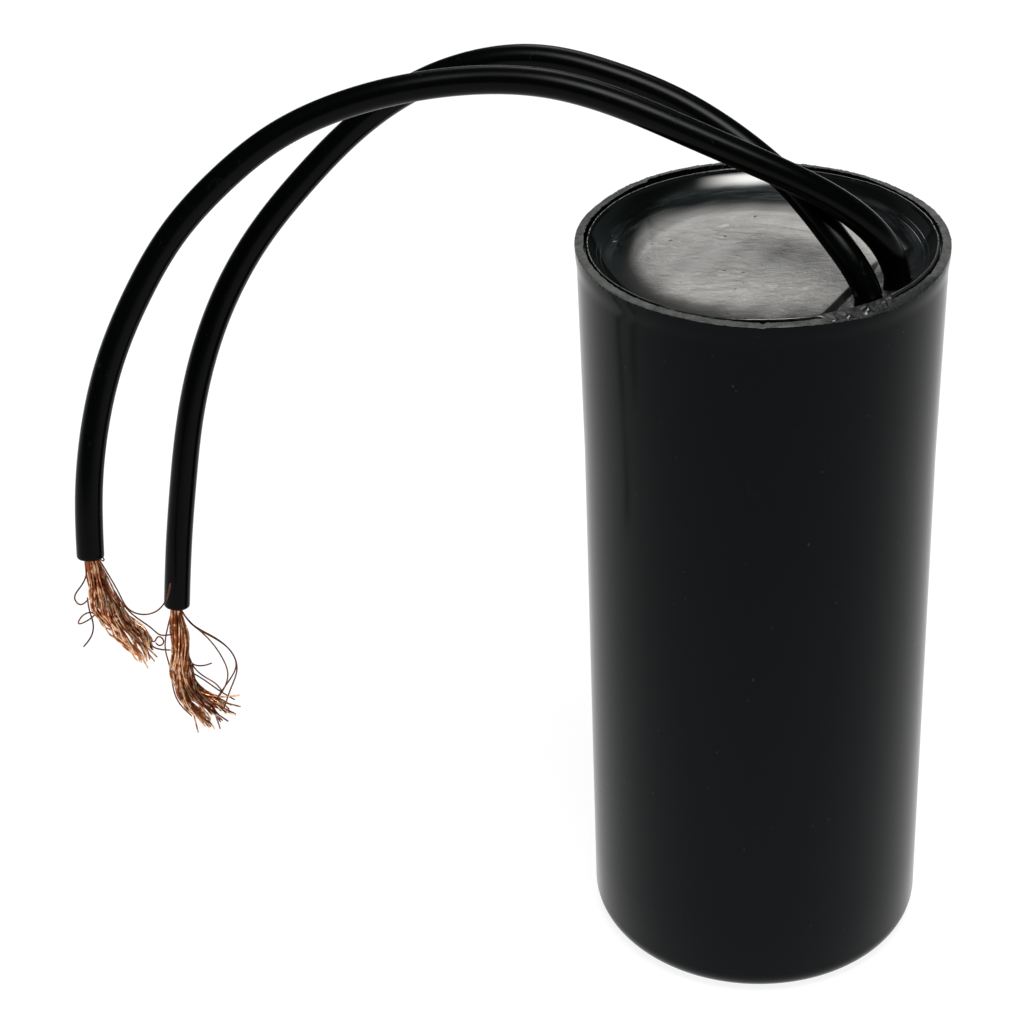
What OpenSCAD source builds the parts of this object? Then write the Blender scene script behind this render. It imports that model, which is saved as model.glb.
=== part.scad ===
// Motor capacitor with flying leads: a wound film roll potted in a moulded plastic can.
// Millimetres, +Z up, origin at the centre of the can's base.

/* [Can] */
// Outer diameter of the can's straight wall
can_d = 30.5; // [26:0.5:36]
// Height of the can, from base to rim
can_h = 70; // [60:0.5:80]
// Thickness of the can's wall
can_wall = 1.25; // [1:0.05:1.6]
// Thickness of the can's floor
can_floor = 1.5; // [1:0.1:2.5]
// Radius on the edge round the base
base_edge_r = 2.3; // [0.5:0.1:3]
// Radius in the corner between the floor and the wall, inside
floor_edge_r = 1.2; // [0.4:0.1:2]

/* [Rim] */
// How far the rim's band stands out from the straight wall
rim_out = 0.4; // [0.35:0.05:0.8]
// Height of the rim's band
rim_band_h = 0.5; // [0.3:0.1:1]
// Height of the slope under the band
rim_slope_h = 0.35; // [0.2:0.05:1]
// Width of the flat land on top of the rim
rim_land_w = 0.7; // [0.5:0.05:0.9]
// How far the wall leans out below the rim
flare_out = 0.25; // [0.1:0.05:0.3]
// Height over which the wall leans out
flare_h = 20; // [10:1:24]
// Height over which the mouth narrows to the bore
mouth_h = 8; // [5:0.5:12]

/* [Potting resin] */
// Depth of the resin's flat below the rim
dish_depth = 2.7; // [2.2:0.1:3.4]
// Depth of the resin's raised edge below the rim
edge_drop = 0.3; // [0.1:0.05:0.5]
// Width of the raised edge's flat top
edge_w = 0.25; // [0.15:0.05:0.6]
// Radius of the meniscus that climbs from the flat to the raised edge
meniscus_r = 4.2; // [3.5:0.1:6]
// Width of the crack that shrinkage left between the resin and the can
shrink_gap = 0.25; // [0.1:0.05:0.4]
// Depth of the shrinkage crack
shrink_depth = 0.8; // [0.4:0.1:1.4]
// Height of the collar round each lead, above the meniscus beside it
collar_h = 0.2; // [0.1:0.05:0.6]
// Width of the collar's foot round the lead
collar_w = 0.9; // [0.6:0.1:1.4]
// Width of the collar's top round the lead
collar_lip = 0.2; // [0.1:0.05:0.4]

/* [Film roll] */
// Space between the can's floor and the roll
foot_gap = 3; // [2.8:0.1:5]
// Space between the roll and the resin's flat
head_gap = 5.1; // [4.8:0.1:8]
// Resin between the roll and the bore, on the side away from the long lead
roll_wall_gap = 1.5; // [0.8:0.1:2.5]
// Resin between the roll and the long lead
roll_lead_gap = 0.5; // [0.3:0.1:1.2]
// Outer diameter of the plastic tube that the film is wound on
core_d = 5; // [4:0.5:7]
// Bore of that tube
core_bore_d = 3; // [2:0.5:3.5]
// Thickness of the zinc sprayed on each end of the roll
spray_t = 0.6; // [0.3:0.1:1]

/* [Leads] */
// Outer diameter of a lead's insulation
lead_d = 2.35; // [1.8:0.05:2.8]
// Diameter of the stranded copper conductor
conductor_d = 1.2; // [0.8:0.1:1.4]
// Resin between the bore and lead a, which runs down to the roll's lower end
lead_a_gap = 1.2; // [0.8:0.1:1.6]
// Bearing of lead a round the can's axis
lead_a_angle = -22; // [-26:1:-18]
// Resin between the bore and lead b, which joins the roll's upper end
lead_b_gap = 2.2; // [1.6:0.1:3]
// Bearing of lead b round the can's axis
lead_b_angle = -41; // [-46:1:-38]
// Bare conductor between the end of the insulation and the bend
strip_l = 0.4; // [0.2:0.1:0.8]
// Bend radius of the conductor, at its middle
conductor_bend_r = 1.6; // [1.4:0.1:2]
// Length of conductor laid along the roll's end
conductor_reach = 4; // [3:0.5:5]
// Solder between the conductor and the sprayed end
solder_under = 0.3; // [0.2:0.05:0.4]
// Diameter of a solder joint
solder_d = 4.4; // [4:0.2:5]
// Height of a solder joint
solder_h = 2; // [1.9:0.1:2.2]
// How far the conductor's tip passes the middle of its solder joint
solder_lap = 1; // [0.6:0.1:1.2]
// Diameter of a bare strand bundle at its frayed tip
bundle_tip_d = 2.6; // [1.6:0.2:3.6]

/* [Hidden] */

// Faces on round shapes, sides on a swept lead, overrun of a cutting shape, and depth of a collar's root
$fn = 96;
lead_sides = 8;
over = 1;
collar_root = 0.2;

// The can's bore and mouth
can_r = can_d / 2;
bore_r = can_r - can_wall;
mouth_r = can_r + rim_out - rim_land_w;
function bore_at(z) = z < can_h - mouth_h
    ? bore_r
    : bore_r + (mouth_r - bore_r) * (z - can_h + mouth_h) / mouth_h;

// Levels of the resin's surface, and where its meniscus starts to climb
dish_z = can_h - dish_depth;
edge_z = can_h - edge_drop;
crack_z = edge_z - shrink_depth;
well_r = bore_at(edge_z) - shrink_gap - edge_w;
meniscus_foot = well_r - sqrt(pow(meniscus_r, 2) - pow(meniscus_r - edge_z + dish_z, 2));
function climb_at(r) = r < meniscus_foot
    ? 0
    : meniscus_r - sqrt(pow(meniscus_r, 2) - pow(r - meniscus_foot, 2));

// The ends of the roll, with its sprayed layers, and its place beside the long lead
roll_foot_z = can_floor + foot_gap;
roll_head_z = dish_z - head_gap;
lead_r = lead_d / 2;
lead_a_r = bore_r - lead_a_gap - lead_r;
lead_b_r = bore_r - lead_b_gap - lead_r;
roll_near = lead_a_r - lead_r - roll_lead_gap;
roll_far = bore_r - roll_wall_gap;
roll_r = (roll_near + roll_far) / 2;
roll_shift = (roll_far - roll_near) / 2;

// Each lead inside the can: distance from the axis, bearing, and height of its laid conductor
conductor_r = conductor_d / 2;
laid_a_z = roll_foot_z - solder_under - conductor_r;
laid_b_z = roll_head_z + solder_under + conductor_r;
LEAD_A = [lead_a_r, lead_a_angle, laid_a_z];
LEAD_B = [lead_b_r, lead_b_angle, laid_b_z];
function exit_z(lead) = dish_z + climb_at(lead[0] + lead_r) + collar_h;
function exit_of(lead) = [lead[0] * cos(lead[1]), lead[0] * sin(lead[1]), exit_z(lead)];

// Free routes of the two leads: up out of the resin, over in an arch and down
route_a = concat([exit_of(LEAD_A)], [
    [8.6, -4.8, 72.5], [4, -4.8, 76.3], [-1, -4, 78.8], [-6.5, -2.6, 81.1], [-11.8, -1, 83.1],
    [-17.4, 0.8, 84.3], [-23.2, 2.2, 84.3], [-28.9, 2.8, 83.6], [-34.6, 3.2, 82.1], [-40.1, 3, 79.7],
    [-44.8, 2.2, 76.4], [-49, 1, 72.4], [-52.4, -0.6, 67.6], [-55, -2.2, 62.6], [-56.8, -4, 57.2],
    [-57.8, -5.8, 51.7], [-58.2, -7.2, 46]
]);
route_b = concat([exit_of(LEAD_B)], [
    [5.6, -4.6, 71.7], [2.3, -1, 75.1], [-1.9, 2, 78.1], [-6.9, 4.6, 80.7], [-12.3, 6.6, 82.5],
    [-17.9, 8.4, 83.4], [-23.7, 9.6, 82.6], [-29.2, 10.4, 80.2], [-34.1, 10.6, 76.7], [-38.4, 10, 72.7],
    [-42.4, 9.2, 68.3], [-45.8, 8, 63.3], [-48.2, 6.4, 58.2], [-49.9, 4.8, 52.6], [-51, 3.4, 46.9],
    [-51.9, 2, 41], [-52.6, 1, 35.2]
]);

// Routes of the two bare ends, on from the insulation
bundle_a = concat([route_a[len(route_a) - 1]], [
    [-57.8, -7.8, 43.3], [-57, -8.2, 40.9], [-55.6, -8.4, 38.3], [-54, -8.6, 36.3]
]);
bundle_b = concat([route_b[len(route_b) - 1]], [
    [-52.5, 0.4, 32.1], [-52.5, -0.2, 28.9], [-52.1, -0.6, 26.7], [-49.5, -1, 24.3]
]);

function unit(v) = v / norm(v);

// Heading at point i of a route whose first face looks along first
function heading(route, i, first) =
    i == 0 ? first
    : i == len(route) - 1 ? unit(route[i] - route[i - 1])
    : unit(route[i + 1] - route[i - 1]);

// Ring of points of radius r round p, square to the heading t
function ring(p, t, r) =
    let (u = unit(cross([0, 1, 0], t)), v = cross(t, u))
    [for (k = [0:lead_sides - 1])
        p + r * (cos(360 * k / lead_sides) * u + sin(360 * k / lead_sides) * v)];

// Direction of a route's last stretch
function last_heading(route) = heading(route, len(route) - 1, [0, 0, 1]);

// Solid swept along a route, with a radius at each of its points
module sweep(route, radii, first) {
    n = len(route);
    m = lead_sides;
    points = [for (i = [0:n - 1]) each ring(route[i], heading(route, i, first), radii[i])];
    start_cap = [for (k = [0:m - 1]) k];
    end_cap = [for (k = [m - 1:-1:0]) (n - 1) * m + k];
    sides = [for (i = [0:n - 2], k = [0:m - 1])
        let (a = i * m + k, b = i * m + (k + 1) % m)
        each [[a, a + m, b], [b, a + m, b + m]]];
    polyhedron(points = points, faces = concat([start_cap], sides, [end_cap]));
}

module free_lead(route) {
    sweep(route, [for (p = route) lead_r], [0, 0, 1]);
}

module strand_bundle(route, lead_route) {
    last = len(route) - 1;
    radii = [for (i = [0:last]) (conductor_d + (bundle_tip_d - conductor_d) * i / last) / 2];
    sweep(route, radii, last_heading(lead_route));
}

// Carries its children to a lead's bearing, with +X pointing out from the can's axis
module at_lead(lead) {
    rotate([0, 0, lead[1]]) children();
}

// Full outline of a lead's potted insulation, conductor included
module potted_envelope(lead) {
    end_z = lead[2] + conductor_bend_r + strip_l;
    at_lead(lead) translate([lead[0], 0, end_z]) cylinder(r = lead_r, h = exit_z(lead) - end_z);
}

// Stranded conductor inside the can: down the insulation, round a bend and in along the roll's end
module conductor(lead) {
    bend_z = lead[2] + conductor_bend_r;
    at_lead(lead) {
        translate([lead[0], 0, bend_z]) cylinder(r = conductor_r, h = exit_z(lead) - bend_z);
        translate([lead[0] - conductor_bend_r, 0, bend_z]) rotate([90, 0, 0])
            rotate_extrude(angle = -90) translate([conductor_bend_r, 0]) circle(r = conductor_r);
        translate([lead[0] - conductor_bend_r, 0, lead[2]]) rotate([0, -90, 0])
            cylinder(r = conductor_r, h = conductor_reach);
    }
}

// Full dome of a solder joint on a sprayed end, standing on z = 0
module solder_dome() {
    dome_r = (pow(solder_d / 2, 2) + pow(solder_h, 2)) / (2 * solder_h);
    rotate_extrude() intersection() {
        translate([0, solder_h - dome_r]) circle(r = dome_r);
        square([solder_d, solder_d]);
    }
}

module solder_envelope(lead, face_z, tilt) {
    tip = lead[0] - conductor_bend_r - conductor_reach;
    at_lead(lead) translate([tip + solder_lap, 0, face_z]) rotate([tilt, 0, 0]) solder_dome();
}

// Carries its children onto the roll's axis
module at_roll() {
    rotate([0, 0, lead_a_angle]) translate([-roll_shift, 0, 0]) children();
}

module roll_ring(z, h) {
    at_roll() translate([0, 0, z]) difference() {
        cylinder(r = roll_r, h = h);
        translate([0, 0, -over]) cylinder(d = core_d, h = h + 2 * over);
    }
}

// Half section of the can's hollow, up to a level
module hollow_section(top_z) {
    translate([bore_r - floor_edge_r, can_floor + floor_edge_r]) circle(r = floor_edge_r);
    polygon([
        [0, can_floor], [bore_r - floor_edge_r, can_floor], [bore_r, can_floor + floor_edge_r],
        [bore_r, can_h - mouth_h], [bore_at(top_z), top_z], [0, top_z]
    ]);
}

// Moulded can: flat base with a round edge, straight wall, flared mouth and a banded rim
module case() {
    band_z = can_h - rim_band_h;
    color([0.06, 0.07, 0.07]) rotate_extrude() difference() {
        union() {
            translate([can_r - base_edge_r, base_edge_r]) circle(r = base_edge_r);
            polygon([
                [0, 0], [can_r - base_edge_r, 0], [can_r, base_edge_r], [can_r, can_h - flare_h],
                [can_r + flare_out, band_z - rim_slope_h], [can_r + rim_out, band_z],
                [can_r + rim_out, can_h], [0, can_h]
            ]);
        }
        hollow_section(can_h + over);
    }
}

// Metallised film wound on its tube
module film_roll() {
    color([0.75, 0.76, 0.78])
        roll_ring(roll_foot_z + spray_t, roll_head_z - roll_foot_z - 2 * spray_t);
}

// Plastic tube through the roll, flush with the sprayed ends
module roll_core() {
    color([0.9, 0.88, 0.8]) at_roll() translate([0, 0, roll_foot_z]) difference() {
        cylinder(d = core_d, h = roll_head_z - roll_foot_z);
        translate([0, 0, -over]) cylinder(d = core_bore_d, h = roll_head_z - roll_foot_z + 2 * over);
    }
}

// Zinc sprayed on the roll's ends, joining the edges of the film
module end_spray_lower() {
    color([0.62, 0.63, 0.65]) roll_ring(roll_foot_z, spray_t);
}

module end_spray_upper() {
    color([0.62, 0.63, 0.65]) roll_ring(roll_head_z - spray_t, spray_t);
}

module lead_a_conductor() {
    color([0.72, 0.4, 0.22]) conductor(LEAD_A);
}

module lead_b_conductor() {
    color([0.72, 0.4, 0.22]) conductor(LEAD_B);
}

// Solder joints of lead a under the roll and of lead b on top of it
module solder_lower() {
    color([0.7, 0.71, 0.72]) difference() {
        solder_envelope(LEAD_A, roll_foot_z, 180);
        conductor(LEAD_A);
    }
}

module solder_upper() {
    color([0.7, 0.71, 0.72]) difference() {
        solder_envelope(LEAD_B, roll_head_z, 0);
        conductor(LEAD_B);
    }
}

// Insulation of each lead where it is set in the resin
module lead_a_potted() {
    color([0.05, 0.05, 0.05]) difference() {
        potted_envelope(LEAD_A);
        conductor(LEAD_A);
    }
}

module lead_b_potted() {
    color([0.05, 0.05, 0.05]) difference() {
        potted_envelope(LEAD_B);
        conductor(LEAD_B);
    }
}

// Resin as poured: fills the can, dished on top, with a thin raised edge that has shrunk off the wall
module resin_fill() {
    rotate_extrude() difference() {
        hollow_section(edge_z);
        polygon([
            [bore_at(crack_z) - shrink_gap, crack_z], [can_r, crack_z], [can_r, can_h],
            [bore_at(can_h) - shrink_gap, can_h]
        ]);
        translate([0, dish_z]) square([meniscus_foot, dish_depth]);
        translate([meniscus_foot, dish_z + meniscus_r]) circle(r = meniscus_r);
    }
}

// Cone of resin drawn up round a lead, rooted below the flat
module collar(lead) {
    rise = exit_z(lead) - dish_z;
    slope = (collar_w - collar_lip) / rise;
    at_lead(lead) translate([lead[0], 0, dish_z - collar_root])
        cylinder(r1 = lead_r + collar_w + slope * collar_root, r2 = lead_r + collar_lip, h = rise + collar_root);
}

// Potting resin round everything in the can
module potting_resin() {
    color([0.03, 0.03, 0.035]) difference() {
        union() {
            resin_fill();
            collar(LEAD_A);
            collar(LEAD_B);
        }
        at_roll() translate([0, 0, roll_foot_z]) difference() {
            cylinder(r = roll_r, h = roll_head_z - roll_foot_z);
            translate([0, 0, -over]) cylinder(d = core_bore_d, h = roll_head_z - roll_foot_z + 2 * over);
        }
        for (lead = [LEAD_A, LEAD_B]) {
            potted_envelope(lead);
            conductor(lead);
        }
        solder_envelope(LEAD_A, roll_foot_z, 180);
        solder_envelope(LEAD_B, roll_head_z, 0);
    }
}

// Free lengths of the leads
module lead_a() {
    color([0.05, 0.05, 0.05]) free_lead(route_a);
}

module lead_b() {
    color([0.05, 0.05, 0.05]) free_lead(route_b);
}

// Stripped ends, as the outline of their copper strands
module lead_a_strands() {
    color([0.75, 0.42, 0.24]) strand_bundle(bundle_a, route_a);
}

module lead_b_strands() {
    color([0.75, 0.42, 0.24]) strand_bundle(bundle_b, route_b);
}

case();
film_roll();
roll_core();
end_spray_lower();
end_spray_upper();
lead_a_conductor();
lead_b_conductor();
solder_lower();
solder_upper();
lead_a_potted();
lead_b_potted();
potting_resin();
lead_a();
lead_b();
lead_a_strands();
lead_b_strands();
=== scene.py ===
import math

import bmesh
import bpy
import numpy as np
from mathutils import Matrix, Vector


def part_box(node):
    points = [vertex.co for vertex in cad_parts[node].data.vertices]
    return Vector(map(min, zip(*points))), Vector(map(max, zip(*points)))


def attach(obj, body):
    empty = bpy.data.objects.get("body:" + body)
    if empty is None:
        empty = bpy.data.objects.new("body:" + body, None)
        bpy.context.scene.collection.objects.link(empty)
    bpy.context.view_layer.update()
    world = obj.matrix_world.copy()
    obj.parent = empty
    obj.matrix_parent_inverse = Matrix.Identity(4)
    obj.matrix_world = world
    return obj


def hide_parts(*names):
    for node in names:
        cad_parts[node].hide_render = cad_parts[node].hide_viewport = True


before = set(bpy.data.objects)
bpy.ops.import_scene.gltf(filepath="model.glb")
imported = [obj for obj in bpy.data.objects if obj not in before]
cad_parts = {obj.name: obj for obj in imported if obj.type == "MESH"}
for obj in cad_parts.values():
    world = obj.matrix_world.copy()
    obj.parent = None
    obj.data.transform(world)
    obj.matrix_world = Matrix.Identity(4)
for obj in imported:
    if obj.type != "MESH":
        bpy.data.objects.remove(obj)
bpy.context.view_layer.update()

# The camera looks down on the can from the front, at the photograph's angle and framing.
# It stands a quarter of a metre off, so the lens is long and the can tapers a little towards its base.
mm = 0.001
camera_place = np.array([-21.858, -199.209, 167.802]) * mm
camera_fall = 0.5552
camera_roll = -0.0449
camera_lens = 93.05
camera_back = np.array([0.0, -math.cos(camera_fall), math.sin(camera_fall)])
level_right = np.array([1.0, 0.0, 0.0])
level_up = np.array([0.0, math.sin(camera_fall), math.cos(camera_fall)])
camera_right = math.cos(camera_roll) * level_right + math.sin(camera_roll) * level_up
camera_up = math.cos(camera_roll) * level_up - math.sin(camera_roll) * level_right
camera_turn = Matrix(np.column_stack([camera_right, camera_up, camera_back]).tolist())
camera = bpy.data.objects.new("camera", bpy.data.cameras.new("camera"))
camera.data.lens = camera_lens
camera.data.sensor_width = 36.0
camera.data.clip_start = 0.005
camera.matrix_world = Matrix.Translation(camera_place.tolist()) @ camera_turn.to_4x4()
bpy.context.collection.objects.link(camera)
bpy.context.scene.camera = camera
bpy.context.scene.view_settings.view_transform = "Standard"


# The two free leads: stranded copper in smooth black insulation, extruded on and cut square at the far end.
# They are set in the resin, come straight up out of it, arch over to the left and hang by their own weight.
lead_radius = 1.175
lead_bore = 0.72
lead_cut_round = 0.22
lead_cut_depth = 1.6
lead_sides = 40
lead_step = 0.45
lead_wander = 0.006
wander_knots = 24
lead_cut_ragged = 0.012
# The middle line of each free lead in mm, from just above its exit to its cut end.
lead_routes = {
    "lead_a": [
        (8.6, -4.8, 72.5), (4, -4.8, 76.3), (-1, -4, 78.8), (-6.5, -2.6, 81.1), (-11.8, -1, 83.1),
        (-17.4, 0.8, 84.3), (-23.2, 2.2, 84.3), (-28.9, 2.8, 83.6), (-34.6, 3.2, 82.1), (-40.1, 3, 79.7),
        (-44.8, 2.2, 76.4), (-49, 1, 72.4), (-52.4, -0.6, 67.6), (-55, -2.2, 62.6), (-56.8, -4, 57.2),
        (-57.8, -5.8, 51.7), (-58.2, -7.2, 46),
    ],
    "lead_b": [
        (5.6, -4.6, 71.7), (2.3, -1, 75.1), (-1.9, 2, 78.1), (-6.9, 4.6, 80.7), (-12.3, 6.6, 82.5),
        (-17.9, 8.4, 83.4), (-23.7, 9.6, 82.6), (-29.2, 10.4, 80.2), (-34.1, 10.6, 76.7), (-38.4, 10, 72.7),
        (-42.4, 9.2, 68.3), (-45.8, 8, 63.3), (-48.2, 6.4, 58.2), (-49.9, 4.8, 52.6), (-51, 3.4, 46.9),
        (-51.9, 2, 41), (-52.6, 1, 35.2),
    ],
}
lead_headings = {"lead_a": (-0.2, 0.0, 0.98), "lead_b": (-0.25, 0.2, 0.95)}


def exit_of(name):
    """The middle of the top of a lead's potted length, in mm, where the free length starts."""
    low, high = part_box(name + "_potted")
    return ((low.x + high.x) / 2 / mm, (low.y + high.y) / 2 / mm, high.z / mm)


lead_exits = {name: exit_of(name) for name in lead_routes}


def smooth_route(points, step, heading=None):
    """Points every step mm on a cubic spline through the given ones. heading is its first direction."""
    knots = np.array(points, float)
    gaps = np.linalg.norm(np.diff(knots, axis=0), axis=1)
    along = np.concatenate([[0.0], np.cumsum(gaps)])
    count = len(knots)
    system = np.eye(count)
    wanted = np.zeros((count, 3))
    for k in range(1, count - 1):
        system[k, k - 1:k + 2] = gaps[k - 1], 2 * (gaps[k - 1] + gaps[k]), gaps[k]
        wanted[k] = 6 * ((knots[k + 1] - knots[k]) / gaps[k] - (knots[k] - knots[k - 1]) / gaps[k - 1])
    if heading is not None:
        system[0, :2] = 2 * gaps[0], gaps[0]
        wanted[0] = 6 * ((knots[1] - knots[0]) / gaps[0] - np.array(heading) / np.linalg.norm(heading))
    bend = np.linalg.solve(system, wanted)
    places = np.linspace(0, along[-1], max(3, round(along[-1] / step) + 1))
    piece = np.clip(np.searchsorted(along, places, side="right") - 1, 0, count - 2)
    gap = gaps[piece][:, None]
    ahead = (along[piece + 1] - places)[:, None]
    behind = (places - along[piece])[:, None]
    curved = (bend[piece] * ahead ** 3 + bend[piece + 1] * behind ** 3) / (6 * gap)
    first = (knots[piece] / gap - bend[piece] * gap / 6) * ahead
    second = (knots[piece + 1] / gap - bend[piece + 1] * gap / 6) * behind
    return curved + first + second


def unit(vectors):
    """The same directions, one long."""
    return vectors / np.linalg.norm(vectors, axis=-1, keepdims=True)


def axes_along(path):
    """The heading and the two cross directions at each point of a path, carried along without twist."""
    heading = unit(np.gradient(path, axis=0))
    first = np.cross(heading[0], (0.0, 1.0, 0.0))
    if np.linalg.norm(first) < 0.1:
        first = np.cross(heading[0], (1.0, 0.0, 0.0))
    across = [unit(first)]
    for ahead in heading[1:]:
        turned = across[-1] - ahead * np.dot(across[-1], ahead)
        across.append(unit(turned))
    across = np.array(across)
    return heading, across, np.cross(heading, across)


def rings_round(path, radii, sides):
    """One ring of points round each point of a path."""
    heading, across, over = axes_along(path)
    turn = np.arange(sides) * 2 * math.pi / sides
    radii = np.broadcast_to(np.asarray(radii, float), (len(path),))[:, None, None]
    spread = np.cos(turn)[None, :, None] * across[:, None] + np.sin(turn)[None, :, None] * over[:, None]
    return path[:, None] + radii * spread


def ring_faces(rows, sides, first=0, capped=True):
    """Faces between rows of points that close on themselves, with a cap on each end."""
    row = np.arange(rows - 1)[:, None] * sides
    here = np.arange(sides)[None]
    beside = (here + 1) % sides
    quads = np.stack([row + here, row + beside, row + sides + beside, row + sides + here], -1) + first
    faces = quads.reshape(-1, 4).tolist()
    if capped:
        last = first + (rows - 1) * sides
        faces.append(list(range(first + sides - 1, first - 1, -1)))
        faces.append(list(range(last, last + sides)))
    return faces


def make_piece(name, points, faces, materials, sharp=40.0):
    """A smooth-shaded piece from points in mm, with its edges sharp above an angle in degrees."""
    mesh = bpy.data.meshes.new(name)
    mesh.from_pydata((np.asarray(points) * mm).tolist(), [], faces)
    mesh.update()
    for material in materials:
        mesh.materials.append(material)
    mesh.shade_smooth()
    mesh.set_sharp_from_angle(angle=math.radians(sharp))
    piece = bpy.data.objects.new(name, mesh)
    bpy.context.collection.objects.link(piece)
    return piece


class Level:
    """A value or colour that changes over a surface. Sums on a value add Math nodes."""

    def __init__(self, finish, socket):
        self.finish = finish
        self.socket = socket

    def reckon(self, operation, first, second):
        """One Math node on two values."""
        return self.finish.node("ShaderNodeMath", {"operation": operation}, {0: first, 1: second})

    def __add__(self, other):
        return self.reckon("ADD", self, other)

    def __radd__(self, other):
        return self.reckon("ADD", other, self)

    def __sub__(self, other):
        return self.reckon("SUBTRACT", self, other)

    def __rsub__(self, other):
        return self.reckon("SUBTRACT", other, self)

    def __mul__(self, other):
        return self.reckon("MULTIPLY", self, other)

    def __rmul__(self, other):
        return self.reckon("MULTIPLY", other, self)


class Finish:
    """A procedural material. Its method node adds any node: type, settings, then sockets."""

    def __init__(self, name, owner=None):
        self.owner = owner or bpy.data.materials.new(name)
        self.owner.use_nodes = True
        self.tree = self.owner.node_tree
        self.tree.nodes.clear()

    def node(self, kind, settings=None, sockets=None, out=0):
        """One more node, as the value that one of its sockets gives."""
        made = self.tree.nodes.new(kind)
        for name, value in (settings or {}).items():
            setattr(made, name, value)
        for key, value in (sockets or {}).items():
            if isinstance(value, Level):
                self.tree.links.new(value.socket, made.inputs[key])
            else:
                made.inputs[key].default_value = value
        return Level(self, made.outputs[out]) if made.outputs else None

    def place(self):
        """Where a point lies on the part, in metres."""
        return self.node("ShaderNodeTexCoord", out=3)

    def stretched(self, scale):
        """The place, with each axis scaled, so that grain can run one way."""
        return self.node("ShaderNodeMapping", {}, {0: self.place(), 3: scale})

    def grain(self, place, scale, detail=3.0, rough=0.55):
        """Noise from 0 to 1 with lumps of about 1 / scale metres."""
        sockets = {"Vector": place, "Scale": scale, "Detail": detail, "Roughness": rough}
        return self.node("ShaderNodeTexNoise", {}, sockets)

    def band(self, value, low, high, start=0.0, end=1.0):
        """A soft step in a value, from start at low to end at high."""
        sockets = {0: value, 1: low, 2: high, 3: start, 4: end}
        return self.node("ShaderNodeMapRange", {"interpolation_type": "SMOOTHSTEP"}, sockets)

    def blend(self, factor, first, second):
        """One colour turning into another."""
        return self.node("ShaderNodeMix", {"data_type": "RGBA"}, {0: factor, 6: first, 7: second}, out=2)

    def bump(self, height, depth):
        """Small relief, depth in mm."""
        return self.node("ShaderNodeBump", {}, {"Height": height, "Distance": depth * mm, "Strength": 1.0})

    def surface(self, **sockets):
        """The finished surface, from its sockets by name, with _ for a space."""
        named = {key.replace("_", " "): value for key, value in sockets.items()}
        shader = self.node("ShaderNodeBsdfPrincipled", {}, named)
        self.node("ShaderNodeOutputMaterial", {}, {"Surface": shader})
        return self.owner


def insulation_finish():
    """Smooth extruded black insulation with faint handling marks."""
    skin = Finish("lead_insulation")
    dull = skin.grain(skin.place(), 260.0, 4.0)
    scuff = skin.band(skin.grain(skin.stretched((1.0, 1.0, 0.35)), 1400.0, 5.0, 0.7), 0.60, 0.74)
    colour = skin.blend(scuff, (0.0006, 0.0008, 0.0009, 1), (0.006, 0.0065, 0.007, 1))
    relief = skin.grain(skin.place(), 2600.0, 3.0) + 0.6 * scuff
    return skin.surface(
        Base_Color=colour,
        Roughness=0.19 + 0.12 * dull + 0.15 * scuff,
        IOR=1.17,
        Normal=skin.bump(relief, 0.004),
    )


lead_insulation = insulation_finish()
lead_paths = {}
for name, route in lead_routes.items():
    path = smooth_route([lead_exits[name]] + route, lead_step, lead_headings[name])
    lead_paths[name] = path
    draw = np.random.default_rng(len(lead_paths))
    swell = draw.normal(0, lead_wander, wander_knots)
    wander = np.interp(np.linspace(0, 1, len(path)), np.linspace(0, 1, wander_knots), swell)
    skin_rings = rings_round(path[:-1], lead_radius * (1 + wander[:-1]), lead_sides)
    ahead, across, over = axes_along(path)
    cut_end, cut_heading = path[-1], ahead[-1]
    arc = np.linspace(0, math.pi / 2, 6)
    cut_profile = [
        (lead_radius - lead_cut_round * (1 - math.cos(a)), -lead_cut_round * (1 - math.sin(a))) for a in arc
    ]
    cut_profile += [(lead_bore + 0.06, 0.0), (lead_bore, -0.06), (lead_bore - 0.02, -lead_cut_depth)]
    turn = np.arange(lead_sides) * 2 * math.pi / lead_sides
    spread = np.cos(turn)[:, None] * across[-1] + np.sin(turn)[:, None] * over[-1]
    cut_draw = np.random.default_rng(40 + len(lead_paths))
    ragged = cut_draw.normal(0, lead_cut_ragged, (len(cut_profile), lead_sides))
    cut_rings = [
        cut_end + radius * spread + (back + ragged[k][:, None]) * cut_heading
        for k, (radius, back) in enumerate(cut_profile)
    ]
    rings = np.concatenate([skin_rings, np.array(cut_rings)])
    lead = make_piece(
        name + "_free", rings.reshape(-1, 3), ring_faces(len(rings), lead_sides), [lead_insulation], 60.0
    )
    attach(lead, "root")
    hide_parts(name)


# The bare ends: fine copper strands, some fifty to a lead, that spring apart where the insulation ends.
# They stay in loose twisted clumps that bend together at the tip, and a few stray ones stand off in loops.
strand_radius = 0.08
strand_sides = 8
strand_count = 54
strand_step = 0.22
strand_points = 56
shortest_strand = 50
strand_inset = 0.14
root_depths = (1.2, 0.4)
edge_step = 0.2
clump_count = 8
golden_turn = 2.4
any_turn = 6.3
full_turn = 6.283
stray_shade = 0.05
strand_seeds = {"lead_a": 11, "lead_b": 23}
# Painted light: lead_a's strands are painted lighter than lead_b's, to make up for the darker surroundings
# they reflect.
painted_strand_light = {"lead_a": 0.4, "lead_b": 1.4}
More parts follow.
